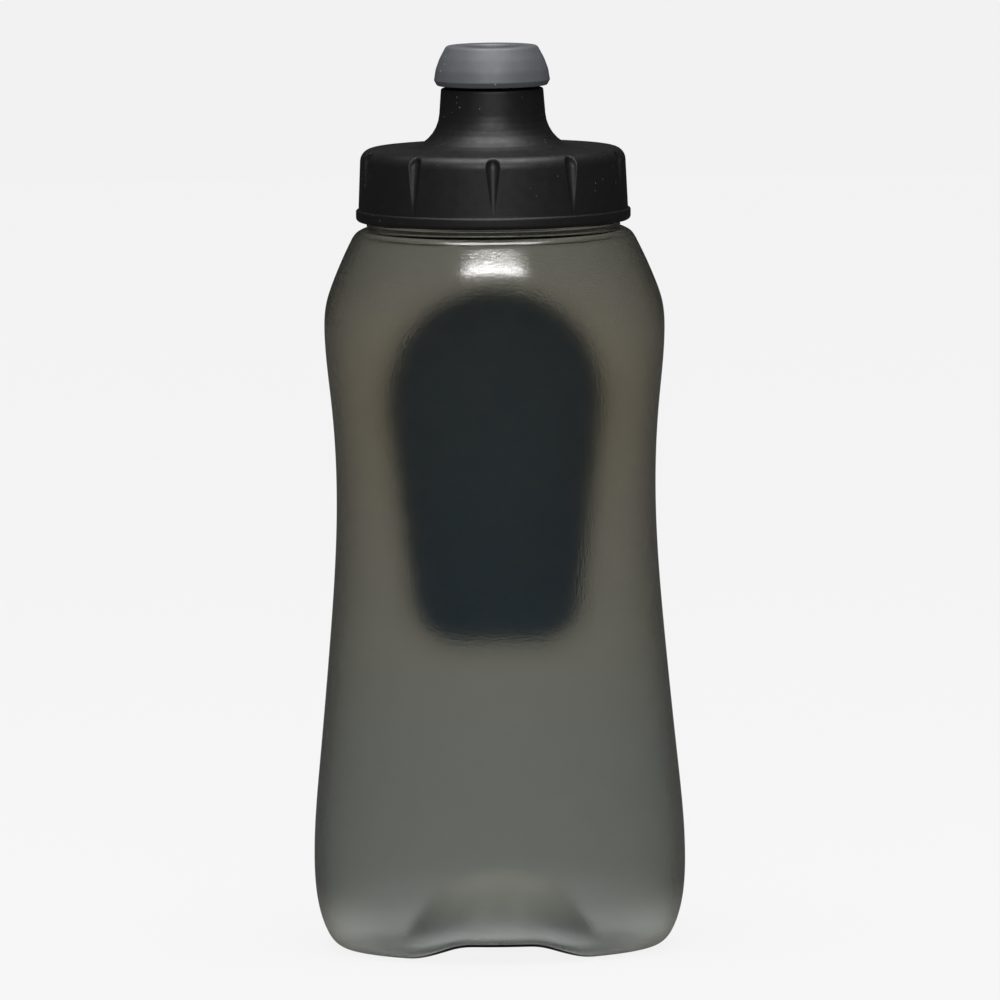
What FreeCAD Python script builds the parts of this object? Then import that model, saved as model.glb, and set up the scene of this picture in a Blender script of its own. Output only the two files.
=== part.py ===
import FreeCAD, Part
import Sketcher
import math
import os

# Sports squeeze bottle: a blow-moulded oval bottle with a screw cap and a push-pull spout.
# Millimetres, +Z up, origin on the floor under the middle of the bottle, front towards -Y.

# Skin stations of the bottle from the floor up. Each is an ellipse: height, half width along X,
# half depth along Y, and how far the inner skin's matching ellipse is raised above it.
STATIONS = [
    ("contact", 0.0, 33.2, 28.4, 1.5),
    ("heel", 1.4, 35.4, 30.6, 1.2),
    ("heel_round", 4.0, 37.0, 32.2, 0.6),
    ("hip_low", 9.0, 38.6, 33.7, 0.2),
    ("hip", 18.5, 39.5, 34.6, 0.0),
    ("thigh", 40.0, 38.05, 33.6, 0.0),
    ("belly", 66.0, 35.6, 31.9, 0.0),
    ("waist", 96.0, 33.9, 30.6, 0.0),
    ("ribs", 116.0, 34.8, 31.4, 0.0),
    ("chest", 131.0, 36.1, 32.6, 0.0),
    ("chest_top", 137.5, 35.65, 32.4, -0.4),
    ("shoulder_low", 142.0, 34.2, 31.4, -0.7),
    ("shoulder_high", 150.5, 30.4, 29.2, -0.9),
    ("shoulder_round", 152.6, 29.0, 28.2, -1.2),
    ("shoulder_top", 153.2, 27.6, 27.2, -1.2),
]

SIZES = [
    # bottle skin and base
    ("wall", 1.3, "wall of the bottle"),
    ("dome_radius", 22.0, "push-up under the base, a sphere"),
    ("dome_drop", 6.5, "how far the push-up's centre lies below the floor"),
    ("channel_top_half", 8.5, "half width of the flat top of the base channel"),
    ("channel_height", 3.4, "height of the base channel above the floor"),
    ("channel_foot_half", 17.5, "half width of the base channel at the floor"),
    ("channel_spread", 5.0, "how much wider the cutter gets on each side below the floor"),
    ("channel_below", 2.0, "how far the cutter reaches below the floor"),
    ("channel_length", 90.0, "front to back, past both skins"),
    # palm grip
    ("pad_thickness", 1.6, "depth of the palm recess and thickness of the pad"),
    ("pad_top_radius", 23.7, "round top of the pad"),
    ("pad_top_centre", 114.0, "height of that round's centre"),
    ("pad_corner_radius", 11.0, "lower corners of the pad"),
    ("pad_corner_out", 7.4, "sideways place of the lower corners' centres"),
    ("pad_corner_centre", 72.9, "height of the lower corners' centres"),
    ("pad_reach", 60.0, "cutter reaches past the back skin"),
    ("pad_margin", 1.3, "the wall behind the recess is this much wider all round"),
    ("backing_start", 0.65, "depth below the outer skin at which that wall starts"),
    # neck
    ("neck_bore_radius", 23.2, "mouth of the bottle"),
    ("neck_root_radius", 24.9, "outside of the neck between its threads"),
    ("neck_ring_radius", 26.9, "support ring under the cap"),
    ("neck_ring_foot", 151.6, "underside of the ring, inside the shoulder"),
    ("neck_ring_top", 154.6, "top of the ring"),
    ("neck_rim", 167.2, "sealing rim of the neck"),
    ("neck_bore_foot", 149.0, "where the mouth opens into the inside"),
    ("rim_round", 0.5, "rounding of the rim"),
    # thread, shared by neck and cap
    ("thread_lead", 6.0, "rise of one turn"),
    ("neck_thread_crest", 26.1, "outside of the neck's thread"),
    ("neck_thread_start", 157.2, "height of the neck thread's middle where it starts"),
    ("neck_thread_climb", 7.8, "1.3 turns"),
    ("cap_thread_crest", 25.25, "inside of the cap's thread"),
    ("cap_thread_start", 158.0, "height of the cap thread's middle where it starts"),
    ("cap_thread_climb", 6.6, "1.1 turns"),
    ("thread_root_half", 1.2, "half width of a thread at its root"),
    ("thread_crest_half", 0.6, "half width of a thread at its crest"),
    ("thread_sink", 0.4, "how deep a thread's root is sunk in its wall"),
    # cap skirt and tower
    ("cap_foot", 154.9, "lower edge of the cap"),
    ("bead_radius", 29.15, "bead round the lower edge"),
    ("bead_top", 157.4, "top of the bead"),
    ("bead_round", 0.9, "rounding of the bead's lower edge"),
    ("bead_ledge_round", 0.4, "rounding of the bead's upper edge"),
    ("skirt_low_radius", 28.65, "skirt just above the bead"),
    ("skirt_top_radius", 28.1, "skirt under the shoulder"),
    ("skirt_bore_radius", 26.45, "inside of the skirt between its threads"),
    ("cap_shoulder_round", 2.5, "rounding between skirt and top face"),
    ("ceiling", 168.6, "underside of the cap's top"),
    ("cap_top", 170.3, "top face of the cap"),
    ("tower_foot_radius", 11.8, "tower where it would meet the top face"),
    ("tower_flare", 8.0, "concave flare between top face and tower"),
    ("tower_tip_radius", 10.85, "tower at its top"),
    ("tower_top", 183.0, "top of the tower"),
    ("tower_round", 0.5, "rounding of the tower's top edge"),
    ("bore_radius", 8.6, "bore in which the spout slides"),
    ("lip_radius", 7.87, "guide lip at the top of the bore"),
    ("lip_foot", 180.4, "underside of the lip, which stops the open spout"),
    ("boss_radius", 12.9, "collar under the ceiling that holds the shut-off post"),
    ("boss_foot", 166.8, "lower edge of that collar"),
    # grooves round the skirt
    ("groove_count", 10, "grip grooves round the skirt"),
    ("groove_foot", 158.6, "lower end of the groove cutter, a slim cone"),
    ("groove_length", 9.6, "length of the groove cutter"),
    ("groove_foot_radius", 0.45, "cutter's radius at its lower end"),
    ("groove_top_radius", 1.55, "cutter's radius at its upper end"),
    ("groove_out", 29.15, "distance of the cutter's foot from the bottle's axis"),
    # gasket
    ("gasket_bore", 22.5, "inside radius of the gasket"),
    ("gasket_radius", 25.6, "outside radius of the gasket"),
    ("gasket_foot", 167.3, "underside of the gasket"),
    ("gasket_top", 168.5, "top of the gasket"),
    ("gasket_round", 0.3, "rounding of the gasket"),
    # shut-off post
    ("post_disc_radius", 11.5, "disc that carries the post"),
    ("post_disc_foot", 167.0, "underside of the disc"),
    ("post_radius", 2.6, "post"),
    ("post_neck", 182.8, "where the post widens into its plug"),
    ("plug_radius", 3.44, "plug that closes the spout's orifice"),
    ("plug_top", 185.4, "top of the plug"),
    ("plug_round", 0.7, "rounding of the plug's top"),
    ("window_radius", 1.9, "flow windows in the disc"),
    ("window_circle", 5.9, "radius of the circle they lie on"),
    ("window_count", 6, "flow windows"),
    # spout core
    ("core_foot", 171.6, "lower end of the spout core at rest"),
    ("core_bore_radius", 5.6, "flow passage"),
    ("core_radius", 7.8, "sliding stem"),
    ("snap_foot", 172.2, "underside of the snap bead"),
    ("snap_top", 174.9, "top of the snap bead"),
    ("snap_radius", 8.45, "snap bead"),
    ("o_groove_foot", 172.8, "groove of the o-ring"),
    ("o_groove_top", 174.3, "groove of the o-ring"),
    ("o_groove_radius", 7.2, "floor of the groove"),
    ("orifice_foot", 184.2, "underside of the orifice plate"),
    ("orifice_top", 185.6, "top of the orifice plate"),
    ("orifice_radius", 3.5, "orifice"),
    ("cup_radius", 7.0, "cup that holds the valve"),
    ("cup_rim", 189.9, "rim of the cup"),
    ("cup_outer_radius", 8.2, "outside of the cup"),
    ("collar_foot", 184.0, "collar that keys into the mouthpiece"),
    ("collar_top", 184.8, "top of the collar"),
    ("collar_radius", 9.2, "collar"),
    ("o_ring_radius", 7.885, "middle of the o-ring's section"),
    ("o_ring_section", 0.675, "radius of the o-ring's section"),
    # valve and its retainer
    ("retainer_bore", 5.0, "spacer ring under the valve, inside"),
    ("retainer_radius", 6.95, "spacer ring, outside"),
    ("retainer_top", 188.6, "top of the spacer ring"),
    ("valve_radius", 6.95, "flange of the slit valve"),
    ("valve_disc_radius", 5.3, "thin middle of the valve"),
    ("valve_disc_foot", 189.3, "underside of the thin middle"),
    ("valve_disc_top", 190.1, "top of the thin middle"),
    ("slit_length", 6.4, "each arm of the cross cut, end to end"),
    ("slit_width", 0.15, "opening of the cut"),
    # mouthpiece
    ("mouth_foot", 183.6, "underside of the mouthpiece"),
    ("mouth_foot_radius", 11.7, "outer edge of the underside"),
    ("mouth_wide_radius", 12.3, "widest part"),
    ("mouth_wide", 184.7, "height of the widest part"),
    ("mouth_mid_radius", 11.5, "a point half way up the crown"),
    ("mouth_mid", 187.9, "height of that point"),
    ("mouth_top_radius", 9.55, "crown where it meets the top face"),
    ("mouth_top", 192.0, "top of the mouthpiece"),
    ("mouth_top_round", 1.1, "rounding of the top edge"),
    ("dish_radius", 5.75, "dish over the valve"),
    ("dish_round", 0.8, "rounding of the dish's edge"),
]

SHEET = "Sizes"
STATION_VALUES = ("height", "width", "depth", "lift")
NEAR = 0.02  # how close an edge must be to a named ring to count as that ring

doc = FreeCAD.newDocument("sports_squeeze_bottle")
sheet = doc.addObject("Spreadsheet::Sheet", SHEET)


def fill_sheet():
    """One row for each size: its meaning, its value and its alias."""
    rows = [(alias, value, note) for alias, value, note in SIZES]
    for name, *values in STATIONS:
        for kind, value in zip(STATION_VALUES, values):
            rows.append((f"{name}_{kind}", value, f"bottle skin, {name} {kind}"))
    for row, (alias, value, note) in enumerate(rows, 1):
        sheet.set(f"A{row}", note)
        sheet.set(f"B{row}", str(value))
        sheet.setAlias(f"B{row}", alias)
    doc.recompute()


def total(spec):
    """The number a spec stands for: aliases joined by + and -, such as 'neck_rim - wall'."""
    value, sign = 0.0, 1
    for word in spec.split():
        if word in "+-":
            sign = 1 if word == "+" else -1
        else:
            value += sign * (0.0 if word == "0" else float(sheet.get(word)))
            sign = 1
    return value


def formula(spec):
    """The same spec as a spreadsheet expression."""
    return " ".join(w if w in "+-0" else f"{SHEET}.{w}" for w in spec.split())


def bind(thing, **specs):
    """Binds each named property of an object to the sheet."""
    for prop, spec in specs.items():
        thing.setExpression(prop, formula(spec))


def raise_to(thing, spec):
    thing.setExpression("Placement.Base.z", formula(spec))


# Sketches ---------------------------------------------------------------------------------------


def origin_plane(body, role):
    return next(p for p in body.Origin.OriginFeatures if p.Role == role)


def sketch_in(body, name, role="XZ_Plane"):
    sketch = body.newObject("Sketcher::SketchObject", name)
    sketch.AttachmentSupport = [(origin_plane(body, role), "")]
    sketch.MapMode = "FlatFace"
    return sketch


def free_sketch(name):
    """A sketch of its own in the upright plane that faces the front, for Part extrusions."""
    sketch = doc.addObject("Sketcher::SketchObject", name)
    sketch.Placement.Rotation = FreeCAD.Rotation(FreeCAD.Vector(1, 0, 0), 90)
    return sketch


def pin_down(sketch, geometry, end, across, up):
    """Holds one end of a piece of geometry at a place given by two specs."""
    for kind, spec in (("DistanceX", across), ("DistanceY", up)):
        value = total(spec)
        index = sketch.addConstraint(
            Sketcher.Constraint(kind, -1, 1, geometry, end, value)
        )
        if spec != "0":
            sketch.setExpression(f"Constraints[{index}]", formula(spec))


def outline(sketch, corners):
    """A closed outline through corners, each (across, up). A corner with a third value, the
    (across, up) of a point to pass through, is reached by an arc instead of a line."""
    places = [FreeCAD.Vector(total(c[0]), total(c[1]), 0) for c in corners]
    for index, corner in enumerate(corners):
        start, end = places[index - 1], places[index]
        if len(corner) > 2:
            through = FreeCAD.Vector(total(corner[2][0]), total(corner[2][1]), 0)
            edge = sketch.addGeometry(Part.Arc(start, through, end))
            sketch.addConstraint(Sketcher.Constraint("Block", edge))
        else:
            edge = sketch.addGeometry(Part.LineSegment(start, end))
            pin_down(sketch, edge, 2, corner[0], corner[1])
            pin_down(sketch, edge, 1, corners[index - 1][0], corners[index - 1][1])


# PartDesign features ----------------------------------------------------------------------------


def new_body(name):
    body = doc.addObject("PartDesign::Body", name)
    body.Label = name
    return body


def revolve(body, corners, name="Profile"):
    sketch = sketch_in(body, f"{body.Name}{name}")
    outline(sketch, corners)
    turned = body.newObject("PartDesign::Revolution", f"{body.Name}Turned")
    turned.Profile = sketch
    turned.ReferenceAxis = (sketch, ["V_Axis"])
    turned.Angle = 360
    sketch.Visibility = False
    doc.recompute()
    return turned


def ring_edges(feature, rings):
    """Names of the feature's circular edges that lie at the given (radius, height) specs."""
    names = []
    for index, edge in enumerate(feature.Shape.Edges, 1):
        if not isinstance(edge.Curve, Part.Circle):
            continue
        for radius, height in rings:
            off = abs(edge.Curve.Radius - total(radius))
            up = abs(edge.Curve.Center.z - total(height))
            if off < NEAR and up < NEAR:
                names.append(f"Edge{index}")
    return names


def round_rings(body, radius, *rings):
    """A fillet on the circular edges at the given (radius, height) specs."""
    base = body.Tip
    names = ring_edges(base, rings)
    if len(names) < len(rings):
        raise ValueError(f"{body.Name}: a ring to round at {rings} was not found")
    fillet = body.newObject("PartDesign::Fillet", f"{body.Name}Round")
    fillet.Base = (base, names)
    bind(fillet, Radius=radius)
    doc.recompute()
    if "Invalid" in fillet.State:
        raise ValueError(f"{body.Name}: the rounding {radius} failed")
    return fillet


def thread(body, wall, crest, start, climb):
    """A right-hand thread ridge of trapezoid section, from wall to crest."""
    profile = sketch_in(body, f"{body.Name}ThreadProfile")
    outline(
        profile,
        [
            (wall, f"{start} - thread_root_half"),
            (crest, f"{start} - thread_crest_half"),
            (crest, f"{start} + thread_crest_half"),
            (wall, f"{start} + thread_root_half"),
        ],
    )
    ridge = body.newObject("PartDesign::AdditiveHelix", f"{body.Name}Thread")
    ridge.Profile = profile
    ridge.ReferenceAxis = (profile, ["V_Axis"])
    ridge.Mode = 0
    bind(ridge, Pitch="thread_lead", Height=climb)
    ridge.LeftHanded = False
    doc.recompute()
    return ridge


def repeat_round(body, feature, count):
    pattern = body.newObject("PartDesign::PolarPattern", f"{feature.Name}Repeat")
    pattern.Originals = [feature]
    pattern.Axis = (origin_axis(body), [""])
    pattern.Angle = 360
    bind(pattern, Occurrences=count)
    body.Tip = pattern
    doc.recompute()
    return pattern


def origin_axis(body):
    return next(a for a in body.Origin.OriginFeatures if a.Role == "Z_Axis")


# Part booleans ----------------------------------------------------------------------------------


def joined(name, *pieces):
    fuse = doc.addObject("Part::MultiFuse", name)
    fuse.Shapes = list(pieces)
    return fuse


def minus(name, base, tool):
    cut = doc.addObject("Part::Cut", name)
    cut.Base = base
    cut.Tool = tool
    return cut


def shared(name, *pieces):
    common = doc.addObject("Part::MultiCommon", name)
    common.Shapes = list(pieces)
    return common


def extruded(name, sketch, length, symmetric):
    """A sketch carried along Y: both ways, or towards the back only."""
    prism = doc.addObject("Part::Extrusion", name)
    prism.Base = sketch
    prism.DirMode = "Custom"
    prism.Dir = FreeCAD.Vector(0, 1, 0)
    prism.Solid = True
    prism.Symmetric = symmetric
    bind(prism, LengthFwd=length)
    return prism


# Bottle -----------------------------------------------------------------------------------------


def skin(name, inset="", lifted=False):
    """A solid as high as the bottle, through one ellipse at each station, inset all round."""
    loft = doc.addObject("Part::Loft", name)
    ellipses = []
    for station, *_ in STATIONS:
        ellipse = doc.addObject("Part::Ellipse", f"{name}_{station}")
        less = f" - {inset}" if inset else ""
        bind(
            ellipse,
            MajorRadius=f"{station}_width{less}",
            MinorRadius=f"{station}_depth{less}",
        )
        up = f" + {station}_lift" if lifted else ""
        raise_to(ellipse, f"{station}_height{up}")
        ellipses.append(ellipse)
    loft.Sections = ellipses
    loft.Solid = True
    return loft


def base_hollows(name, grown=""):
    """The push-up and the front-to-back channel under the base, grown by the wall for the
    inner skin."""
    more = f" + {grown}" if grown else ""
    dome = doc.addObject("Part::Sphere", f"{name}Dome")
    bind(dome, Radius=f"dome_radius{more}")
    raise_to(dome, "0 - dome_drop")
    profile = free_sketch(f"{name}ChannelProfile")
    foot = f"channel_foot_half + channel_spread{more}"
    outline(
        profile,
        [
            (f"0 - {foot.replace('+', '-')}", "0 - channel_below"),
            (f"0 - channel_top_half{more.replace('+', '-')}", f"channel_height{more}"),
            (f"channel_top_half{more}", f"channel_height{more}"),
            (foot, "0 - channel_below"),
        ],
    )
    channel = extruded(f"{name}Channel", profile, "channel_length", True)
    return joined(name, dome, channel)


def pad_prism(name, grown=""):
    """The grip pad's outline, round at the top and narrower below, carried out of the back:
    three upright discs joined by the straight flanks between them."""
    more = total(grown) if grown else 0.0
    big = total("pad_top_radius") + more
    small = total("pad_corner_radius") + more
    out, low = total("pad_corner_out"), total("pad_corner_centre")
    top = total("pad_top_centre")
    away = math.hypot(out, top - low)
    lean = math.acos((big - small) / away) - math.atan2(top - low, out)
    side = FreeCAD.Vector(math.cos(lean), 0, math.sin(lean))
    crown = FreeCAD.Vector(0, 0, top)
    corner = FreeCAD.Vector(out, 0, low)
    flank_top = crown + side * big
    flank_foot = corner + side * small
    corner_via = corner + FreeCAD.Vector(1, 0, -1).normalize() * small
    sole = corner + FreeCAD.Vector(0, 0, -small)

    def other(place):
        return FreeCAD.Vector(-place.x, place.y, place.z)

    edges = [
        Part.Arc(other(flank_top), crown + FreeCAD.Vector(0, 0, big), flank_top),
        Part.LineSegment(flank_top, flank_foot),
        Part.Arc(flank_foot, corner_via, sole),
        Part.LineSegment(sole, other(sole)),
        Part.Arc(other(sole), other(corner_via), other(flank_foot)),
        Part.LineSegment(other(flank_foot), other(flank_top)),
    ]
    wire = Part.Wire([edge.toShape() for edge in edges])
    prism = doc.addObject("Part::Feature", name)
    prism.Shape = Part.Face(wire).extrude(FreeCAD.Vector(0, total("pad_reach"), 0))
    return prism


def neck():
    """The neck with its support ring and thread, as a body of its own."""
    body = new_body("neck")
    revolve(
        body,
        [
            ("neck_bore_radius", "neck_ring_foot"),
            ("neck_ring_radius", "neck_ring_foot"),
            ("neck_ring_radius", "neck_ring_top"),
            ("neck_root_radius", "neck_ring_top"),
            ("neck_root_radius", "neck_rim"),
            ("neck_bore_radius", "neck_rim"),
        ],
    )
    round_rings(
        body,
        "rim_round",
        ("neck_root_radius", "neck_rim"),
        ("neck_bore_radius", "neck_rim"),
        ("neck_ring_radius", "neck_ring_top"),
    )
    thread(
        body,
        "neck_root_radius - thread_sink",
        "neck_thread_crest",
        "neck_thread_start",
        "neck_thread_climb",
    )
    return body


def bottle_and_pad():
    outer = skin("OuterSkin")
    inner = skin("InnerSkin", "wall", lifted=True)
    recess_floor = skin("RecessFloor", "pad_thickness")
    recess_back = skin("RecessBack", "pad_thickness - wall")
    mid_wall = skin("MidWall", "backing_start")

    hull = minus("Hull", outer, base_hollows("BaseHollows"))
    cavity = minus("Cavity", inner, base_hollows("BaseInside", "wall"))
    shell = minus("Shell", hull, cavity)

    backing = shared(
        "RecessBacking",
        pad_prism("BackingPrism", "pad_margin"),
        minus("BackingLayer", mid_wall, recess_back),
    )
    pad = shared("palm_grip_pad", pad_prism("PadPrism"), minus("PadLayer", outer, recess_floor))
    recessed = minus("Recessed", joined("Backed", shell, backing), pad)

    mouth = doc.addObject("Part::Cylinder", "Mouth")
    bind(mouth, Radius="neck_bore_radius", Height="neck_rim - neck_bore_foot")
    raise_to(mouth, "neck_bore_foot")
    opened = minus("Opened", recessed, mouth)
    bottle = joined("bottle_body", opened, neck())
    bottle.Label = "bottle_body"
    pad.Label = "palm_grip_pad"
    return [bottle, pad]


# Cap --------------------------------------------------------------------------------------------


def cap_shell():
    """Skirt, top face and tower in one moulding, with grip grooves outside and the thread
    inside."""
    body = new_body("cap_shell")
    revolve(
        body,
        [
            ("skirt_bore_radius", "cap_foot"),
            ("bead_radius", "cap_foot"),
            ("bead_radius", "bead_top"),
            ("skirt_low_radius", "bead_top"),
            ("skirt_top_radius", "cap_top"),
            ("tower_foot_radius", "cap_top"),
            ("tower_tip_radius", "tower_top"),
            ("lip_radius", "tower_top"),
            ("lip_radius", "lip_foot"),
            ("bore_radius", "lip_foot"),
            ("bore_radius", "ceiling"),
            ("post_disc_radius", "ceiling"),
            ("post_disc_radius", "boss_foot"),
            ("boss_radius", "boss_foot"),
            ("boss_radius", "ceiling"),
            ("skirt_bore_radius", "ceiling"),
        ],
    )
    round_rings(body, "bead_round", ("bead_radius", "cap_foot"))
    round_rings(body, "bead_ledge_round", ("bead_radius", "bead_top"))
    round_rings(body, "cap_shoulder_round", ("skirt_top_radius", "cap_top"))
    round_rings(body, "tower_flare", ("tower_foot_radius", "cap_top"))
    round_rings(body, "tower_round", ("tower_tip_radius", "tower_top"))

    before = body.Tip.Shape.Volume
    groove = body.newObject("PartDesign::SubtractiveCone", "cap_shellGroove")
    bind(
        groove,
        Radius1="groove_foot_radius",
        Radius2="groove_top_radius",
        Height="groove_length",
    )
    drop = (total("skirt_low_radius") - total("skirt_top_radius")) / (
        total("cap_top") - total("bead_top")
    )
    lean = FreeCAD.Rotation(FreeCAD.Vector(1, 0, 0), -math.degrees(math.atan(drop)))
    place = FreeCAD.Vector(0, -total("groove_out"), total("groove_foot"))
    groove.Placement = FreeCAD.Placement(place, lean)
    doc.recompute()
    if body.Tip.Shape.Volume >= before:
        raise ValueError("the grip groove cuts nothing")
    repeat_round(body, groove, "groove_count")

    thread(
        body,
        "0 - skirt_bore_radius - thread_sink",
        "0 - cap_thread_crest",
        "cap_thread_start",
        "cap_thread_climb",
    )
    return body


def cap_gasket():
    body = new_body("cap_gasket")
    revolve(
        body,
        [
            ("gasket_bore", "gasket_foot"),
            ("gasket_radius", "gasket_foot"),
            ("gasket_radius", "gasket_top"),
            ("gasket_bore", "gasket_top"),
        ],
    )
    round_rings(
        body,
        "gasket_round",
        ("gasket_bore", "gasket_foot"),
        ("gasket_radius", "gasket_foot"),
        ("gasket_radius", "gasket_top"),
        ("gasket_bore", "gasket_top"),
    )
    return body


def shutoff_post():
    """A disc with flow windows and a post whose plug closes the spout's orifice."""
    body = new_body("shutoff_post")
    revolve(
        body,
        [
            ("0", "post_disc_foot"),
            ("post_disc_radius", "post_disc_foot"),
            ("post_disc_radius", "ceiling"),
            ("post_radius", "ceiling"),
            ("post_radius", "post_neck"),
            ("plug_radius", "post_neck + plug_round"),
            ("plug_radius", "plug_top"),
            ("0", "plug_top"),
        ],
    )
    round_rings(body, "plug_round", ("plug_radius", "plug_top"))
    before = body.Tip.Shape.Volume
    circle = sketch_in(body, "shutoff_postWindowProfile", "XY_Plane")
    hole = Part.Circle(
        FreeCAD.Vector(total("window_circle"), 0, 0),
        FreeCAD.Vector(0, 0, 1),
        total("window_radius"),
    )
    edge = circle.addGeometry(hole)
    radius = circle.addConstraint(Sketcher.Constraint("Radius", edge, hole.Radius))
    circle.setExpression(f"Constraints[{radius}]", formula("window_radius"))
    pin_down(circle, edge, 3, "window_circle", "0")
    window = body.newObject("PartDesign::Pocket", "shutoff_postWindow")
    window.Profile = circle
    window.Type = 0
    window.Reversed = True
    bind(window, Length="ceiling")
    doc.recompute()
    if body.Tip.Shape.Volume >= before:
        raise ValueError("the flow window cuts nothing")
    repeat_round(body, window, "window_count")
    return body


# Spout ------------------------------------------------------------------------------------------


def spout_core():
    """The hard stem that slides in the tower: snap bead with an o-ring groove at its foot,
    orifice plate and valve cup at its head."""
    body = new_body("spout_core")
    revolve(
        body,
        [
            ("core_bore_radius", "core_foot"),
            ("core_radius", "core_foot"),
            ("core_radius", "snap_foot"),
            ("snap_radius", "snap_foot"),
            ("snap_radius", "o_groove_foot"),
            ("o_groove_radius", "o_groove_foot"),
            ("o_groove_radius", "o_groove_top"),
            ("snap_radius", "o_groove_top"),
            ("snap_radius", "snap_top"),
            ("core_radius", "snap_top"),
            ("core_radius", "collar_foot"),
            ("collar_radius", "collar_foot"),
            ("collar_radius", "collar_top"),
            ("cup_outer_radius", "collar_top"),
            ("cup_outer_radius", "cup_rim"),
            ("cup_radius", "cup_rim"),
            ("cup_radius", "orifice_top"),
            ("orifice_radius", "orifice_top"),
            ("orifice_radius", "orifice_foot"),
            ("core_bore_radius", "orifice_foot"),
        ],
    )
    return body


def spout_o_ring():
    ring = doc.addObject("Part::Torus", "spout_o_ring")
    ring.Label = "spout_o_ring"
    bind(ring, Radius1="o_ring_radius", Radius2="o_ring_section")
    raise_to(ring, "o_groove_foot + o_ring_section")
    return ring


def valve_retainer():
    body = new_body("valve_retainer")
    revolve(
        body,
        [
            ("retainer_bore", "orifice_top"),
            ("retainer_radius", "orifice_top"),
            ("retainer_radius", "retainer_top"),
            ("retainer_bore", "retainer_top"),
        ],
    )
    return body


def slit_valve():
    """A soft disc with a thick rim and a cross cut through its thin middle."""
    body = new_body("slit_valve")
    revolve(
        body,
        [
            ("0", "valve_disc_foot"),
            ("valve_disc_radius", "valve_disc_foot"),
            ("valve_disc_radius", "retainer_top"),
            ("valve_radius", "retainer_top"),
            ("valve_radius", "cup_rim"),
            ("valve_disc_radius", "cup_rim"),
            ("valve_disc_radius", "valve_disc_top"),
            ("0", "valve_disc_top"),
        ],
    )
    for name, across, along in (("A", "slit_length", "slit_width"), ("B", "slit_width", "slit_length")):
        before = body.Tip.Shape.Volume
        slit = body.newObject("PartDesign::SubtractiveBox", f"slit_valveCut{name}")
        bind(slit, Length=across, Width=along, Height="valve_disc_top - retainer_top")
        corner = FreeCAD.Vector(-total(across) / 2, -total(along) / 2, total("retainer_top"))
        slit.Placement = FreeCAD.Placement(corner, FreeCAD.Rotation())
        doc.recompute()
        if body.Tip.Shape.Volume >= before:
            raise ValueError("a slit cuts nothing")
    return body


def mouthpiece():
    """The soft bite over the core: undercut foot, crowned side, rounded rim and open dish."""
    body = new_body("mouthpiece")
    revolve(
        body,
        [
            ("core_radius", "mouth_foot"),
            ("mouth_foot_radius", "mouth_foot"),
            ("mouth_wide_radius", "mouth_wide"),
            ("mouth_top_radius", "mouth_top", ("mouth_mid_radius", "mouth_mid")),
            ("dish_radius", "mouth_top"),
            ("dish_radius", "cup_rim"),
            ("cup_outer_radius", "cup_rim"),
            ("cup_outer_radius", "collar_top"),
            ("collar_radius", "collar_top"),
            ("collar_radius", "collar_foot"),
            ("core_radius", "collar_foot"),
        ],
    )
    round_rings(body, "mouth_top_round", ("mouth_top_radius", "mouth_top"))
    round_rings(body, "dish_round", ("dish_radius", "mouth_top"))
    return body


# Writing out ------------------------------------------------------------------------------------


def check_all(parts):
    for thing in doc.Objects:
        if "Invalid" in thing.State or "Error" in thing.State:
            raise ValueError(f"{thing.Label} failed: {thing.State}")
    for part in parts:
        if part.Shape.isNull() or not part.Shape.isValid():
            raise ValueError(f"{part.Label} has no valid shape")
        if len(part.Shape.Solids) != 1:
            raise ValueError(f"{part.Label} has {len(part.Shape.Solids)} solids")


def write_all(parts):
    os.makedirs("parts", exist_ok=True)
    for part in parts:
        part.Shape.exportStep(os.path.join("parts", f"{part.Label}.step"))
        print(f"{part.Label}: {part.Shape.Volume / 1000:.2f} cm3")


def main():
    fill_sheet()
    parts = bottle_and_pad()
    parts += [cap_shell(), cap_gasket(), shutoff_post()]
    parts += [spout_core(), spout_o_ring(), valve_retainer(), slit_valve(), mouthpiece()]
    doc.recompute()
    check_all(parts)
    write_all(parts)


main()
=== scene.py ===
import math

import bpy
import numpy as np
from mathutils import Matrix, Vector


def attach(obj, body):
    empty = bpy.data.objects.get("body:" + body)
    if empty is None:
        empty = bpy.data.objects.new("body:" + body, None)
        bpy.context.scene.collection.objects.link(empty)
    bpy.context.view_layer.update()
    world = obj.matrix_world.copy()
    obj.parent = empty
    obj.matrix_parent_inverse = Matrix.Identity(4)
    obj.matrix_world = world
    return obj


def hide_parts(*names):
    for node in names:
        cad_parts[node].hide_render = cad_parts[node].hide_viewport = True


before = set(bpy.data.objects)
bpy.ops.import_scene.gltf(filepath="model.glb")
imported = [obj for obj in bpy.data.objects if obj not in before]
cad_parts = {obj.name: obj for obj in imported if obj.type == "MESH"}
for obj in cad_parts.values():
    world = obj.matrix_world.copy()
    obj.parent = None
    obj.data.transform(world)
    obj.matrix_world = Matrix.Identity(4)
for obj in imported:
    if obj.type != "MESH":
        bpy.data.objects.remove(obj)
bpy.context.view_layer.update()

# Sports squeeze bottle. Lengths are in millimetres up to the moment a mesh is made; the front of
# the bottle faces -Y and its palm grip is at the back.
MM = 0.001
TURN = 2 * math.pi

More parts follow.
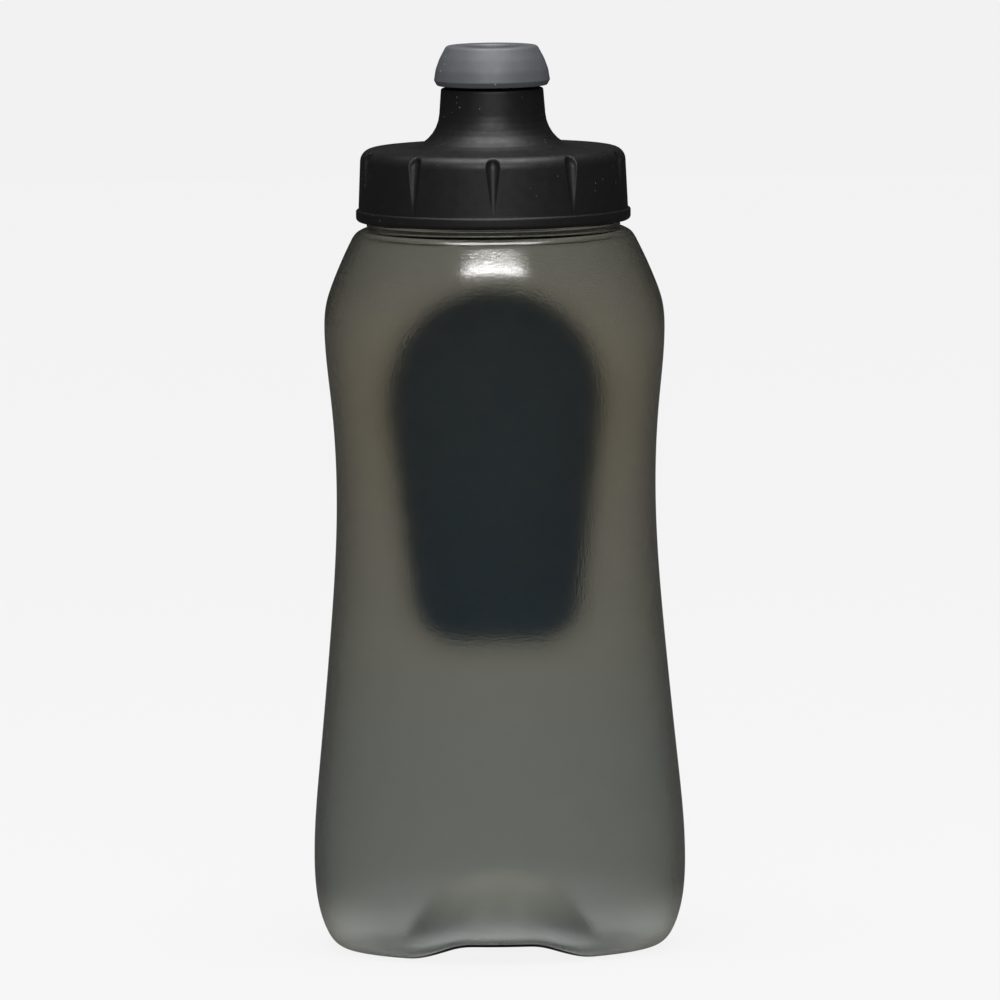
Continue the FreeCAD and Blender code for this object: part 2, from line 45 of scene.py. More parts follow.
# Bottle skin from the middle of its foot up to the neck: height, half width along X, half depth
# along Y. The skin is an ellipse at each height and a smooth curve between them.
SKIN = [
    (0.0, 31.2, 26.4),
    (0.3, 33.6, 28.8),
    (1.5, 35.4, 30.6),
    (4.0, 37.0, 32.2),
    (9.0, 38.6, 33.7),
    (18.5, 39.46, 34.56),
    (40.0, 38.05, 33.6),
    (66.0, 35.6, 31.9),
    (96.0, 33.9, 30.6),
    (116.0, 34.8, 31.4),
    (131.0, 36.1, 32.6),
    (137.5, 35.65, 32.4),
    (142.0, 34.2, 31.95),
    (146.3, 32.4, 31.1),
    (150.5, 30.4, 29.7),
    (152.4, 29.1, 28.65),
    (153.1, 27.9, 27.4),
]
WALL = 1.3  # at the front and back; blowing stretches it thinner at the sides and the base
SIDE_THINNING, BASE_THINNING, DOME_THINNING = 0.12, 0.45, 0.4
BASE_WALL_TOP, BASE_WALL_RUN = 15.0, 12.0  # below this height the wall thins over this run
DOME_WALL_OUT, DOME_WALL_RUN = 24.0, 6.0  # within this radius the dome's wall thins over this run
RECESS_WALL = 0.27  # between the recess's floor and the inside
NECK_BORE, NECK_ROOT, NECK_RING = 23.2, 24.9, 26.9
NECK_FOOT, NECK_RING_TOP, NECK_RIM = 153.35, 154.6, 167.2
INSIDE_TOP = 152.5  # the inner skin follows the outer one up to here and then turns into the neck

BASE_TOP = 20.0  # the feet, the channel and the push-up all lie below this height
DOME_RADIUS, DOME_DROP = 22.0, 6.5
CHANNEL_TOP_HALF, CHANNEL_FOOT_HALF, CHANNEL_HEIGHT = 8.5, 17.5, 3.4
BASE_BLEND = 0.9  # how far the hollows of the base run into each other and into the feet

PAD_DEPTH = 1.6
PAD_TOP, PAD_TOP_RADIUS = 114.0, 23.7
PAD_CORNER, PAD_CORNER_RADIUS = (7.4, 72.9), 11.0
PAD_LOW, PAD_HIGH = PAD_CORNER[1] - PAD_CORNER_RADIUS, PAD_TOP + PAD_TOP_RADIUS
PAD_MIDDLE = 99.0
RIB_PITCH, RIB_DEPTH = 5.0, 0.5
RECESS_SWELL = 6.0  # how far round the recess the wall swells inwards
RECESS_SLOPE = 1.0  # how far the recess's wall runs in while it goes down

LEAD = 6.0
THREAD_HEIGHT = 1.2
NECK_THREAD = dict(start=157.2, first=0.0, turns=1.3)
CAP_THREAD = dict(start=158.0, first=math.pi, turns=1.1)
THREAD_ROOT_HALF, THREAD_CREST_HALF = 1.2, 0.6
THREAD_FADE = math.radians(18)


# Curves ------------------------------------------------------------------------------------------


def spline(places, values, at):
    """A natural cubic spline through values at places, read at the places asked for."""
    places, values, at = (np.asarray(v, float) for v in (places, values, at))
    step = np.diff(places)
    slope = np.diff(values) / step
    system = np.eye(len(places))
    right = np.zeros(len(places))
    for i in range(1, len(places) - 1):
        system[i, i - 1 : i + 2] = step[i - 1], 2 * (step[i - 1] + step[i]), step[i]
        right[i] = 6 * (slope[i] - slope[i - 1])
    bend = np.linalg.solve(system, right)
    i = np.clip(np.searchsorted(places, at) - 1, 0, len(step) - 1)
    a, b = places[i + 1] - at, at - places[i]
    return (
        (bend[i] * a**3 + bend[i + 1] * b**3) / (6 * step[i])
        + (values[i] / step[i] - bend[i] * step[i] / 6) * a
        + (values[i + 1] / step[i] - bend[i + 1] * step[i] / 6) * b
    )


def skin_rings(count):
    """Height, half width and half depth of count rings from the foot up, closer together where
    the skin bends most."""
    table = np.array(SKIN)
    along = np.concatenate([[0], np.cumsum(np.hypot(*np.diff(table[:, :2], axis=0).T))])
    fine = np.linspace(0, along[-1], 4000)
    z, a, b = (spline(along, table[:, k], fine) for k in range(3))
    heading = np.unwrap(np.arctan2(np.gradient(z), np.gradient(a)))
    spacing = np.where((z > PAD_LOW - 2) & (z < PAD_HIGH + 2), 0.65, 1.8)
    cost = np.cumsum(np.gradient(fine) / spacing + np.abs(np.gradient(heading)) * 22)
    picks = np.interp(np.linspace(cost[0], cost[-1], count), cost, np.arange(4000.0))
    return [np.interp(picks, np.arange(4000.0), v) for v in (z, a, b)]


SKIN_Z, SKIN_A, SKIN_B = skin_rings(900)
DEPTH_GROWTH = 0.9  # how fast the skin's depth changes with height, against its width


def skin_angles(count):
    """Angles round the skin, three times as close together at the back, where the grip is."""
    fine = np.linspace(0, TURN, 4001)
    from_back = np.abs(fine - TURN / 4)
    cost = np.cumsum(1 + 2.0 * smooth_step((math.radians(58) - from_back) / math.radians(12)))
    cost = (cost - cost[0]) / (cost[-1] - cost[0])
    return np.interp(np.arange(count) / count, cost, fine)


def back_of_skin(x, z):
    """Points of the back skin at the given x and z, and the skin's outward normals there."""
    a, b = np.interp(z, SKIN_Z, SKIN_A), np.interp(z, SKIN_Z, SKIN_B)
    y = b * np.sqrt(np.clip(1 - (x / a) ** 2, 1e-6, 1))
    grow = np.gradient(SKIN_A, SKIN_Z)
    rise = -np.interp(z, SKIN_Z, grow) * DEPTH_GROWTH
    normal = np.stack([x / a**2, y / b**2, np.zeros_like(x)], -1)
    normal /= np.linalg.norm(normal, axis=-1, keepdims=True)
    normal[..., 2] = rise
    normal /= np.linalg.norm(normal, axis=-1, keepdims=True)
    return np.stack([x, y, z], -1), normal


def smooth_max(a, b, run):
    """The larger of a and b, blended where they are less than run apart."""
    share = np.clip(run - np.abs(a - b), 0, None) / run
    return np.maximum(a, b) + share**2 * run / 4


def smooth_step(v):
    """An even rise from 0 to 1 with soft ends."""
    v = np.clip(v, 0, 1)
    return v * v * (3 - 2 * v)


def base_height(x, y, z):
    """Height of the base's skin over a point of the foot: feet, channel and push-up run into
    each other."""
    slope = CHANNEL_HEIGHT / (CHANNEL_FOOT_HALF - CHANNEL_TOP_HALF)
    channel = (CHANNEL_FOOT_HALF - np.abs(x)) * slope
    channel = -smooth_max(-channel, np.full_like(x, -CHANNEL_HEIGHT), BASE_BLEND)
    around = np.hypot(x, y)
    dome = np.sqrt(np.clip(DOME_RADIUS**2 - around**2, 0, None)) - DOME_DROP
    return smooth_max(smooth_max(z, channel, BASE_BLEND), dome, BASE_BLEND)


def pad_distance(x, z):
    """How far a point lies outside the grip pad's outline: below zero inside it."""
    x = np.abs(x)
    out, low = PAD_CORNER
    away = math.hypot(out, PAD_TOP - low)
    lean = math.acos((PAD_TOP_RADIUS - PAD_CORNER_RADIUS) / away)
    lean -= math.atan2(PAD_TOP - low, out)
    side = np.array([math.cos(lean), math.sin(lean)])
    up = np.array([-side[1], side[0]])
    from_top = np.stack([x, z - PAD_TOP], -1)
    from_corner = np.stack([x - out, z - low], -1)
    crown = np.linalg.norm(from_top, axis=-1) - PAD_TOP_RADIUS
    flank = from_corner @ side - PAD_CORNER_RADIUS
    corner = np.linalg.norm(from_corner, axis=-1) - PAD_CORNER_RADIUS
    sole = low - PAD_CORNER_RADIUS - z
    below = np.where(x > out, corner, sole)
    return np.where(from_top @ up > 0, crown, np.where(from_corner @ up > 0, flank, below))


def thread_height(angle, z, start, first, turns):
    """1 on a thread's crest, 0 off the thread, for points at an angle round +Z and a height."""
    height = np.zeros(np.broadcast(angle, z).shape)
    for turn in range(-1, math.ceil(turns) + 1):
        run = (angle - first) % TURN + turn * TURN
        off = np.abs(z - start - LEAD * run / TURN)
        flank = (THREAD_ROOT_HALF - off) / (THREAD_ROOT_HALF - THREAD_CREST_HALF)
        ends = np.minimum(run, turns * TURN - run) / THREAD_FADE
        height = np.maximum(height, smooth_step(flank) * smooth_step(ends))
    return height


def rounded(corners, closed=True, rows=0.0):
    """A polyline through corners (r, z, radius) with every corner rounded by its radius. Straight
    runs longer than rows get extra points, where rows is set."""
    points = [np.array(c[:2], float) for c in corners]
    path = []
    for i, corner in enumerate(corners):
        here, before, after = points[i], points[i - 1], points[(i + 1) % len(points)]
        if not closed and i in (0, len(corners) - 1):
            path.append(here)
            continue
        into, out = before - here, after - here
        into, out = into / np.linalg.norm(into), out / np.linalg.norm(out)
        half = math.acos(float(np.clip(into @ out, -1, 1))) / 2
        back = corner[2] / math.tan(half)
        middle = here + (into + out) / np.linalg.norm(into + out) * corner[2] / math.sin(half)
        start, end = here + into * back, here + out * back
        spread = math.pi - 2 * half
        steps = max(3, math.ceil(spread / math.radians(11)))
        first, last = start - middle, end - middle
        for k in range(steps + 1):
            t = k / steps
            arm = math.sin((1 - t) * spread) * first + math.sin(t * spread) * last
            path.append(middle + arm / math.sin(spread))
    if not rows:
        return np.array(path)
    full = []
    ends = path[1:] + path[:1] if closed else path[1:]
    for start, end in zip(path, ends):
        count = max(1, round(float(np.linalg.norm(end - start)) / rows))
        full += [start + (end - start) * k / count for k in range(count)]
    if not closed:
        full.append(path[-1])
    return np.array(full)


# Meshes ------------------------------------------------------------------------------------------


def mesh_object(name, points, faces):
    """A smooth-shaded object in metres from points in millimetres."""
    mesh = bpy.data.meshes.new(name)
    mesh.from_pydata((np.asarray(points) * MM).tolist(), [], faces)
    mesh.validate()
    mesh.polygons.foreach_set("use_smooth", [True] * len(mesh.polygons))
    mesh.update()
    thing = bpy.data.objects.new(name, mesh)
    bpy.context.scene.collection.objects.link(thing)
    return thing


def grid_faces(rows, columns, loop, first=0):
    """Quads between rings of points, round to the first row again where loop is set."""
    faces = []
    for r in range(rows if loop else rows - 1):
        low, high = first + r * columns, first + (r + 1) % rows * columns
        for c in range(columns):
            d = (c + 1) % columns
            faces.append((low + c, low + d, high + d, high + c))
    return faces


def ring_body(name, rings, start=None, end=None):
    """A closed skin through rings of points, closed by a fan at each end that has a point."""
    rows, columns = rings.shape[:2]
    points = list(rings.reshape(-1, 3))
    loop = start is None
    faces = grid_faces(rows, columns, loop)
    for tip, row in ((start, 0), (end, rows - 1)):
        if tip is None:
            continue
        points.append(np.asarray(tip, float))
        for c in range(columns):
            d = (c + 1) % columns
            edge = (row * columns + d, row * columns + c)
            faces.append((*(edge if row == 0 else edge[::-1]), len(points) - 1))
    return mesh_object(name, points, faces)


def turned(path, angle):
    """Rings of points from a path of (r, z) turned round the bottle's axis."""
    r, z = path[:, :1], path[:, 1:]
    return np.stack([r * np.cos(angle), r * np.sin(angle), z + 0 * angle], -1)


def outward(rings):
    """Unit normals of a grid of rings, from its neighbours."""
    along = np.gradient(rings, axis=0)
    around = np.roll(rings, -1, 1) - np.roll(rings, 1, 1)
    normal = np.cross(around, along)
    return normal / np.maximum(np.linalg.norm(normal, axis=-1, keepdims=True), 1e-9)


# Materials ---------------------------------------------------------------------------------------


class Paint:
    """A material and short ways to add and link its nodes."""

    def __init__(self, name):
        self.material = bpy.data.materials.new(name)
        self.material.use_nodes = True
        self.tree = self.material.node_tree
        self.shader = self.tree.nodes["Principled BSDF"]
        self.place = self.node("TexCoord").outputs["Object"]

    def node(self, kind, **settings):
        made = self.tree.nodes.new(f"ShaderNode{kind}")
        for key, value in settings.items():
            setattr(made, key, value)
        return made

    def link(self, source, target):
        self.tree.links.new(source, target)

    def noise(self, scale, detail=2.0, roughness=0.5):
        made = self.node("TexNoise")
        self.link(self.place, made.inputs["Vector"])
        made.inputs["Scale"].default_value = scale
        made.inputs["Detail"].default_value = detail
        made.inputs["Roughness"].default_value = roughness
        return made.outputs["Fac"]

    def speckle(self, scale, size):
        """Small round specks: 1 in a speck, 0 between them."""
        cells = self.node("TexVoronoi", feature="F1")
        self.link(self.place, cells.inputs["Vector"])
        cells.inputs["Scale"].default_value = scale
        return self.between(cells.outputs["Distance"], size, size * 0.5, 0.0, 1.0)

    def between(self, value, low, high, to_low, to_high):
        made = self.node("MapRange")
        self.link(value, made.inputs["Value"])
        for key, number in zip(
            ("From Min", "From Max", "To Min", "To Max"), (low, high, to_low, to_high)
        ):
            made.inputs[key].default_value = number
        return made.outputs["Result"]

    def maths(self, operation, *values):
        made = self.node("Math", operation=operation)
        for socket, value in zip(made.inputs, values):
            self.link(value, socket)
        return made.outputs["Value"]

    def mix(self, share, a, b):
        made = self.node("Mix", data_type="RGBA")
        self.link(share, made.inputs["Factor"])
        for socket, value in ((made.inputs[6], a), (made.inputs[7], b)):  # the two colours
            if isinstance(value, tuple):
                socket.default_value = (*value, 1)
            else:
                self.link(value, socket)
        return made.outputs[2]

    def bump(self, height, distance, strength=1.0, over=None):
        made = self.node("Bump")
        made.inputs["Strength"].default_value = strength
        made.inputs["Distance"].default_value = distance
        self.link(height, made.inputs["Height"])
        if over is not None:
            self.link(over, made.inputs["Normal"])
        return made.outputs["Normal"]

    def set(self, **values):
        """Sets or links the shader's own inputs; spaces in their names are underscores."""
        for key, value in values.items():
            socket = self.shader.inputs[key.replace("_", " ")]
            if isinstance(value, bpy.types.NodeSocket):
                self.link(value, socket)
            elif isinstance(value, tuple):
                socket.default_value = (*value, 1)
            else:
                socket.default_value = value


def painted_base_glow(p, parts):
    """Strength of a painted glow on the base: the wall glows most over the brow of the push-up and a
    little in the corners of the heel, in place of light that the plastic scatters there."""
    x, y, z = (parts.outputs[name] for name in "XYZ")
    radius = p.maths("SQRT", p.maths("ADD", p.maths("MULTIPLY", x, x), p.maths("MULTIPLY", y, y)))
    brow = p.between(z, 0.006, 0.013, 0.0, 0.16)
    brow = p.maths("MULTIPLY", brow, p.between(radius, 0.018, 0.025, 1.0, 0.0))
    side = p.between(p.maths("ABSOLUTE", x), 0.024, 0.034, 0.0, 0.035)
    heel = p.maths("MULTIPLY", side, p.between(z, 0.004, 0.014, 1.0, 0.0))
    return p.maths("ADD", brow, heel)


def frosted_wall():
    """Smoke-tinted polyethylene: light dims on its way through the wall, and an orange-peel skin and
    fine frosting scatter it. The base has a painted glow from emission."""
    p = Paint("frosted_wall")
    parts = p.node("SeparateXYZ")
    p.link(p.place, parts.inputs[0])
    height = parts.outputs["Z"]
    # The tint is set by height: cool near the base, warm over the chest and partly cool again on the
    # shoulder.
    warmth = p.between(height, 0.04, 0.115, 0.0, 1.0)
    warmth = p.maths("MULTIPLY", warmth, p.between(height, 0.122, 0.146, 1.0, 0.4))
    tint = p.mix(warmth, (0.83, 0.855, 0.875), (0.90, 0.855, 0.79))
    peel = p.bump(p.noise(2300, 2.0, 0.5), 0.00004, 0.8)
    waves = p.bump(p.noise(110, 2.0), 0.0004, 0.04, over=peel)
    p.set(
        Base_Color=tint,
        Roughness=p.between(p.noise(260), 0.3, 0.7, 0.13, 0.165),
        IOR=1.5,
        Transmission_Weight=1.0,
        # Painted glow: a warm emission over the push-up's brow and the heel corners stands in for light
        # scattered in the plastic.
        Emission_Color=(1.0, 0.97, 0.88),
        Emission_Strength=painted_base_glow(p, parts),
        Normal=waves,
    )
    smoke = p.node("VolumeAbsorption")
    smoke.inputs["Color"].default_value = (0.36, 0.355, 0.30, 1)
    smoke.inputs["Density"].default_value = 1000
    p.link(smoke.outputs["Volume"], p.tree.nodes["Material Output"].inputs["Volume"])
    return p.material


def soft_grip():
    """Blue moulded rubber with a fine grain."""
    p = Paint("soft_grip")
    shade = p.mix(p.noise(60, 4.0), (0.028, 0.20, 0.43), (0.034, 0.22, 0.47))
    grain = p.bump(p.noise(1600, 3.0, 0.7), 0.00008, 0.5)
    p.set(
        Base_Color=shade,
        Roughness=p.between(p.noise(300, 3.0), 0.3, 0.7, 0.55, 0.72),
        Normal=grain,
    )
    p.shader.inputs["Sheen Weight"].default_value = 0.15
    return p.material


def black_plastic(name="black_plastic", gloss=0.0):
    """Black polypropylene with a fine spark-eroded grain and a little dust."""
    p = Paint(name)
    dust = p.maths("MULTIPLY", p.speckle(650, 0.08), p.between(p.noise(90, 3), 0.5, 0.62, 0, 1))
    shade = p.mix(p.noise(45, 4.0), (0.0035, 0.0034, 0.0036), (0.0055, 0.0053, 0.0056))
    shade = p.mix(dust, shade, (0.16, 0.155, 0.145))
    grain = p.bump(p.noise(2600, 4.0, 0.7), 0.00006, 0.45)
    p.set(
        Base_Color=shade,
        Roughness=p.between(p.noise(500, 3.0), 0.3, 0.7, 0.40 - gloss, 0.50 - gloss),
        Specular_IOR_Level=0.22,
        Normal=grain,
    )
    return p.material


def soft_bite():
    """Grey soft mouthpiece rubber, matte, with a few light dust specks."""
    p = Paint("soft_bite")
    dust = p.maths("MULTIPLY", p.speckle(380, 0.08), p.between(p.noise(110, 3), 0.52, 0.62, 0, 1))
    shade = p.mix(p.noise(70, 4.0), (0.036, 0.038, 0.043), (0.044, 0.046, 0.051))
    shade = p.mix(dust, shade, (0.3, 0.3, 0.3))
    grain = p.bump(p.noise(2200, 3.0, 0.6), 0.00004, 0.4)
    p.set(
        Base_Color=shade,
        Roughness=p.between(p.noise(400, 3.0), 0.3, 0.7, 0.5, 0.62),
        Normal=grain,
    )
    return p.material


def silicone(name, dark, light, rough):
    """Soft silicone or rubber of the seals, cloudy between a dark and a light shade."""
    p = Paint(name)
    p.set(
        Base_Color=p.mix(p.noise(90, 3.0), dark, light),
        Roughness=p.between(p.noise(500, 2.0), 0.3, 0.7, rough - 0.05, rough + 0.05),
        Normal=p.bump(p.noise(1800, 2.0), 0.00003, 0.4),
    )
    return p.material


def give(thing, material):
    """Makes material the only one on a thing."""
    thing.data.materials.clear()
    thing.data.materials.append(material)


# Bottle ------------------------------------------------------------------------------------------


def bottle_body(material):
    """The blown bottle as one closed skin: foot, sides, neck with its ring and thread, over the
    rim and back down inside."""
    angle = skin_angles(360)
    z, a, b = skin_rings(240)
    share = np.linspace(0.02, 1, 70)[:-1]
    a = np.concatenate([share * a[0], a])
    b = np.concatenate([share * b[0], b])
    z = np.concatenate([0 * share, z])
    x = a[:, None] * np.cos(angle)
    y = b[:, None] * np.sin(angle)
    height = z[:, None] + 0 * x
    low = height < BASE_TOP
    height = np.where(low, base_height(x, y, height), height)
    outer = np.stack([x, y, height], -1)

    from_pad = np.where(y > 0, pad_distance(x, height), 99)
    plain, normal = outer, outward(outer)
    recess = PAD_DEPTH * np.clip(-from_pad / RECESS_SLOPE, 0, 1)
    outer = plain - normal * recess[..., None]

    neck_path = rounded(
        [
            (27.2, NECK_FOOT, 0),
            (NECK_RING, NECK_FOOT, 0.2),
            (NECK_RING, NECK_RING_TOP, 0.5),
            (NECK_ROOT, NECK_RING_TOP, 0.5),
            (NECK_ROOT, NECK_RIM, 0.6),
            (NECK_BORE, NECK_RIM, 0.6),
            (NECK_BORE, 155.8, 0.8),
            (25.5, 154.2, 0.8),
            (25.9, 152.8, 0.6),
            (27.5, 152.3, 0),
        ],
        closed=False,
        rows=0.3,
    )
    neck = turned(neck_path, angle)
    outside = (neck_path[:, 0] > NECK_ROOT - 0.01) & (neck_path[:, 1] > NECK_RING_TOP + 0.4)
    ridge = thread_height(angle[None, :], neck_path[:, 1:], **NECK_THREAD) * THREAD_HEIGHT
    ridge = np.where(outside[:, None], ridge, 0)
    neck[..., 0] += ridge * np.cos(angle)
    neck[..., 1] += ridge * np.sin(angle)

    wall = WALL * (1 - SIDE_THINNING * np.cos(angle) ** 2)
    wall = wall * (1 - BASE_THINNING * smooth_step((BASE_WALL_TOP - z[:, None]) / BASE_WALL_RUN))
    over_dome = smooth_step((DOME_WALL_OUT - np.hypot(x, y)) / DOME_WALL_RUN) * low
    wall = wall * (1 - DOME_THINNING * over_dome)
    behind = smooth_step((RECESS_SWELL - from_pad) / (RECESS_SWELL + RECESS_SLOPE))
    wall = wall + (PAD_DEPTH + RECESS_WALL - wall) * behind
    inner = (plain - normal * wall[..., None])[z < INSIDE_TOP][::-1]
    rings = np.concatenate([outer, neck, inner])
    bottom = (0, 0, DOME_RADIUS - DOME_DROP)
    dome_wall = WALL * (1 - BASE_THINNING) * (1 - DOME_THINNING)
    inside = (0, 0, DOME_RADIUS - DOME_DROP + dome_wall)
    body = ring_body("frosted_bottle", rings, bottom, inside)
    give(body, material)
    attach(body, "bottle")
    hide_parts("bottle_body")


def grip_pad(material):
    """The palm grip: fills its recess, rounded at the edge, with soft cross ribs."""
    columns = 240
    angle = np.arange(columns) * TURN / columns
    low, high = np.zeros(columns), np.full(columns, 80.0)
    for _ in range(40):
        reach = (low + high) / 2
        out = pad_distance(reach * np.cos(angle), PAD_MIDDLE + reach * np.sin(angle)) > 0
        low, high = np.where(out, low, reach), np.where(out, reach, high)
    edge, proud, bonded = 0.6, 0.2, -0.15
    steps = np.linspace(0, math.pi / 2, 7)
    insets = [RECESS_SLOPE, 0.1, *(edge * (1 - np.cos(steps)))]
    heights = [bonded, PAD_DEPTH - 0.1, *(PAD_DEPTH + proud - edge * (1 - np.sin(steps)))]
    rings = []
    for inset, height in zip(insets, heights):
        rings.append((reach - inset, np.full(columns, height)))
    edge_reach = reach - edge
    for share in np.linspace(1, 0.02, 90)[1:]:
        r = edge_reach * share
        z = PAD_MIDDLE + r * np.sin(angle)
        inward = -pad_distance(r * np.cos(angle), z)
        rib = 0.5 - 0.5 * np.cos((z - PAD_MIDDLE) / RIB_PITCH * TURN)
        ribbed = smooth_step((inward - 3.0) / 2.5) * smooth_step(rib * 1.4 - 0.2)
        rings.append((r, PAD_DEPTH + proud - RIB_DEPTH * ribbed))

    def place(r, height):
        x, z = r * np.cos(angle), PAD_MIDDLE + r * np.sin(angle)
        point, normal = back_of_skin(x, z)
        return point + normal * (height - PAD_DEPTH)[:, None]

    top = np.array([place(r, height) for r, height in rings])
    under = np.array(
        [
            place((reach - RECESS_SLOPE) * share, np.full(columns, bonded))
            for share in np.linspace(0.02, 0.97, 24)
        ]
    )
    rings = np.concatenate([under, top])
    ends = [ring.mean(0) for ring in (under[0], top[-1])]
    pad = ring_body("palm_grip", rings, ends[0], ends[1])
    give(pad, material)
    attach(pad, "bottle")
    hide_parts("palm_grip_pad")


# Cap ---------------------------------------------------------------------------------------------

CAP_FOOT, CAP_TOP = 154.9, 170.3
BEAD_TOP, BEAD_RADIUS = 157.4, 29.15
SKIRT_LOW, SKIRT_TOP, SKIRT_BORE = 28.6, 28.05, 26.45
TOWER_FOOT, TOWER_TIP, TOWER_TOP = 11.8, 10.85, 183.0
CEILING = 168.6
GROOVES = 10
GROOVE_FOOT, GROOVE_TOP = 158.0, 168.2
GROOVE_FOOT_RADIUS, GROOVE_TOP_RADIUS, GROOVE_OUT = 0.45, 1.6, 0.5


def groove_depth(angle, z):
    """Depth of the grip grooves: a cone's hollow that grows upwards and ends in a round, its
    axis just outside the skirt."""
    step = TURN / GROOVES
    off = (angle + math.pi / 2 + step / 2) % step - step / 2
    aside = np.abs(off) * SKIRT_LOW
    share = np.clip((z - GROOVE_FOOT) / (GROOVE_TOP - GROOVE_FOOT), 0, 1)
    radius = GROOVE_FOOT_RADIUS + (GROOVE_TOP_RADIUS - GROOVE_FOOT_RADIUS) * share
    over = np.clip(z - GROOVE_TOP, 0, None)
    room = np.clip(radius**2 - aside**2 - over**2, 0, None)
    return smooth_max(np.sqrt(room) - GROOVE_OUT, np.zeros_like(room), 0.25)


def groove_angles(count):
    """Angles round the cap, close together where the grooves are."""
    step = TURN / GROOVES
    fine = np.linspace(0, step, 401)
    near = smooth_step((math.radians(6) - np.abs(fine - step / 2)) / math.radians(2))
    cost = np.cumsum(1 + 5 * near)
    cost = (cost - cost[0]) / (cost[-1] - cost[0])
    sector = np.interp(np.arange(count // GROOVES) * GROOVES / count, cost, fine)
    starts = np.arange(GROOVES) * step - math.pi / 2 - step / 2
    return np.concatenate([start + sector for start in starts])


def cap_shell(material):
    """Skirt, top and tower in one skin, with the grip grooves pressed into the outside and the
    thread raised inside."""
    path = rounded(
        [
            (SKIRT_BORE, CAP_FOOT, 0.25),
            (BEAD_RADIUS, CAP_FOOT, 0.9),
            (BEAD_RADIUS, BEAD_TOP, 0.4),
            (SKIRT_LOW, BEAD_TOP, 0.12),
            (SKIRT_TOP, CAP_TOP, 2.7),
            (25.0, CAP_TOP, 0.1),
            (24.8, CAP_TOP - 0.15, 0.1),
            (TOWER_FOOT, CAP_TOP - 0.15, 8.0),
            (TOWER_TIP, TOWER_TOP, 0.45),
            (7.87, TOWER_TOP, 0.2),
            (7.87, 180.4, 0.2),
            (8.6, 180.4, 0.1),
            (8.6, CEILING, 0.2),
            (11.5, CEILING, 0.1),
            (11.5, 166.8, 0.2),
            (12.9, 166.8, 0.2),
            (12.9, CEILING, 0.3),
            (SKIRT_BORE, CEILING, 0.5),
        ],
        rows=0.35,
    )
    angle = groove_angles(560)
    rings = turned(path, angle)
    z = path[:, 1:]
    cut = np.where(path[:, :1] > 27.0, groove_depth(angle[None, :], z), 0)
    bore = (np.abs(path[:, 0] - SKIRT_BORE) < 0.02)[:, None]
    ridge = np.where(bore, thread_height(angle[None, :], z, **CAP_THREAD) * THREAD_HEIGHT, 0)
    rings[..., 0] -= (cut + ridge) * np.cos(angle)
    rings[..., 1] -= (cut + ridge) * np.sin(angle)
    cap = ring_body("screw_cap", rings)
    give(cap, material)
    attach(cap, "cap")
    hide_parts("cap_shell")


def mouthpiece(material):
    """The soft bite: flat foot with a crisp edge, crowned side, rounded rim and dish."""
    path = rounded(
        [
            (7.85, 183.6, 0.05),
            (11.7, 183.6, 0.35),
            (12.3, 184.7, 0.3),
            (11.95, 187.0, 5.0),
            (11.1, 189.3, 6.0),
            (9.65, 192.0, 0.9),
            (5.75, 192.0, 0.75),
            (5.75, 189.9, 0.08),
            (8.2, 189.9, 0.05),
            (8.2, 184.8, 0.05),
            (9.2, 184.8, 0.05),
            (9.2, 184.0, 0.05),
            (7.85, 184.0, 0.05),
        ],
        rows=0.35,
    )
    rings = turned(path, np.arange(256) * TURN / 256)
    bite = ring_body("soft_mouthpiece", rings)
    give(bite, material)
    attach(bite, "spout")
    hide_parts("mouthpiece")


# Studio ------------------------------------------------------------------------------------------

LAMP_AIM = Vector((0, 0, 0.15))


def glow(tree, kind, seen, through, mirrored):
    """An even glow with a level of its own for what is seen straight, what shines through the
    wall or onto a piece, and what a glossy surface mirrors, as in a studio with a lit table and
    dark walls."""
    rays = tree.nodes.new("ShaderNodeLightPath")

    def choose(pick, yes, no):
        """The level yes where pick is 1 and no where it is 0."""
        level = tree.nodes.new("ShaderNodeMapRange")
        tree.links.new(pick, level.inputs["Value"])
        for key, value in (("To Min", no), ("To Max", yes)):
            if isinstance(value, float):
                level.inputs[key].default_value = value
            else:
                tree.links.new(value, level.inputs[key])
        return level.outputs["Result"]

    gloss = tree.nodes.new("ShaderNodeMath")
    gloss.operation = "MULTIPLY"
    tree.links.new(rays.outputs["Is Glossy Ray"], gloss.inputs[0])
    tree.links.new(rays.outputs["Is Reflection Ray"], gloss.inputs[1])
    indirect = choose(gloss.outputs["Value"], mirrored, through)
    light = tree.nodes.new(kind)
    light.inputs["Color"].default_value = (1, 1, 1, 1)
    tree.links.new(choose(rays.outputs["Is Camera Ray"], seen, indirect), light.inputs["Strength"])
    return light.outputs[0]


def studio():
    """A pale world and a pale lit table under the bottle."""
    scene = bpy.context.scene
    world = bpy.data.worlds.new("studio")
    world.use_nodes = True
    tree = world.node_tree
    tree.nodes.clear()
    out = tree.nodes.new("ShaderNodeOutputWorld")
    sky = glow(tree, "ShaderNodeBackground", seen=0.887, through=0.887, mirrored=0.02)
    tree.links.new(sky, out.inputs["Surface"])
    scene.world = world

    bpy.ops.mesh.primitive_circle_add(vertices=96, radius=2.2, fill_type="NGON")
    floor = bpy.context.object
    floor.name = "table"
    floor.location.z = -0.0002
    cloth = bpy.data.materials.new("table_top")
    cloth.use_nodes = True
    tree = cloth.node_tree
    tree.nodes.clear()
    out = tree.nodes.new("ShaderNodeOutputMaterial")
    matte = tree.nodes.new("ShaderNodeBsdfDiffuse")
    matte.inputs["Color"].default_value = (0.02, 0.02, 0.02, 1)
    both = tree.nodes.new("ShaderNodeAddShader")
    lit = glow(tree, "ShaderNodeEmission", seen=0.87, through=0.95, mirrored=0.03)
    tree.links.new(lit, both.inputs[0])
    tree.links.new(matte.outputs[0], both.inputs[1])
    tree.links.new(both.outputs[0], out.inputs["Surface"])
    floor.data.materials.append(cloth)


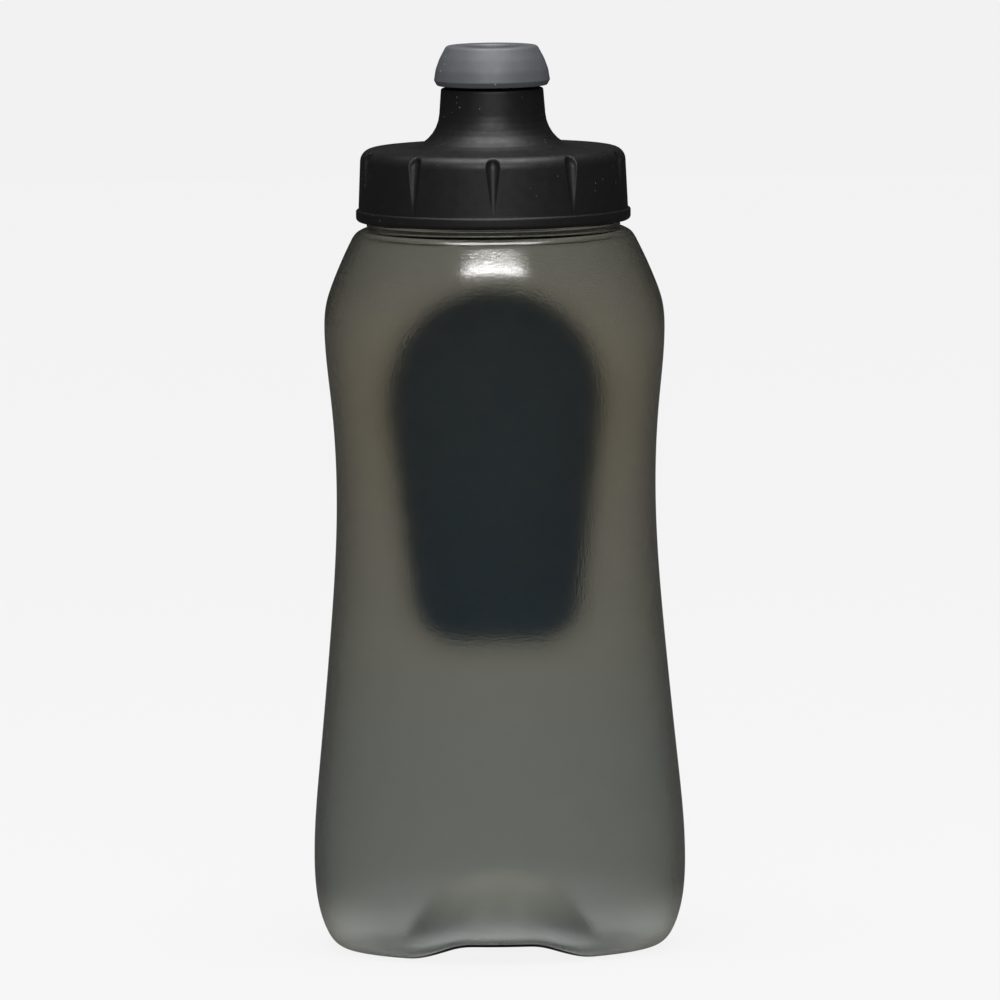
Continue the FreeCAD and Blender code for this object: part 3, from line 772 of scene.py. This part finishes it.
def softbox(name, place, size, power):
    """A flat lamp turned towards the cap."""
    light = bpy.data.lights.new(name, "AREA")
    light.shape = "RECTANGLE"
    light.size, light.size_y = size
    light.energy = power
    lamp = bpy.data.objects.new(name, light)
    lamp.location = place
    lamp.rotation_mode = "QUATERNION"
    lamp.rotation_quaternion = (LAMP_AIM - Vector(place)).to_track_quat("-Z", "Y")
    bpy.context.scene.collection.objects.link(lamp)


def camera():
    """A long lens in front, a little above the bottle's middle and rolled a touch."""
    distance, elevation, roll = 3.2, math.radians(5.5), math.radians(-0.58)
    aim = Vector((0.0008, 0, 0.0952))
    data = bpy.data.cameras.new("camera")
    data.sensor_width = 36
    data.lens = 36 * distance / 0.2125
    data.clip_end = 60
    back = Vector((0, -math.cos(elevation), math.sin(elevation)))
    view = bpy.data.objects.new("camera", data)
    view.rotation_mode = "QUATERNION"
    view.location = aim + back * distance
    turn = Matrix.Rotation(roll, 4, "Z")
    view.rotation_quaternion = (
        (-back).to_track_quat("-Z", "Y").to_matrix().to_4x4() @ turn
    ).to_quaternion()
    bpy.context.scene.collection.objects.link(view)
    bpy.context.scene.camera = view


# Scene -------------------------------------------------------------------------------------------


def main():
    """Makes the four detailed pieces, the materials of the other six, the studio and the camera."""
    black = black_plastic()
    bottle_body(frosted_wall())
    grip_pad(soft_grip())
    cap_shell(black)
    mouthpiece(soft_bite())
    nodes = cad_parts
    give(nodes["shutoff_post"], black)
    give(nodes["spout_core"], black_plastic("black_stem", 0.12))
    give(nodes["valve_retainer"], black_plastic("black_ring", 0.12))
    give(nodes["cap_gasket"], silicone("gasket_silicone", (0.28, 0.28, 0.29), (0.34, 0.34, 0.35), 0.45))
    give(nodes["spout_o_ring"], silicone("o_ring_rubber", (0.012,) * 3, (0.018,) * 3, 0.4))
    give(nodes["slit_valve"], silicone("valve_silicone", (0.06, 0.06, 0.065), (0.075, 0.075, 0.08), 0.4))
    studio()
    softbox("front", (0.0, -1.145, 0.765), (0.9, 0.09), 15)
    softbox("overhead", (0.0, -0.15, 1.3), (1.0, 0.8), 31)
    camera()
    bpy.context.scene.view_settings.view_transform = "Standard"


main()
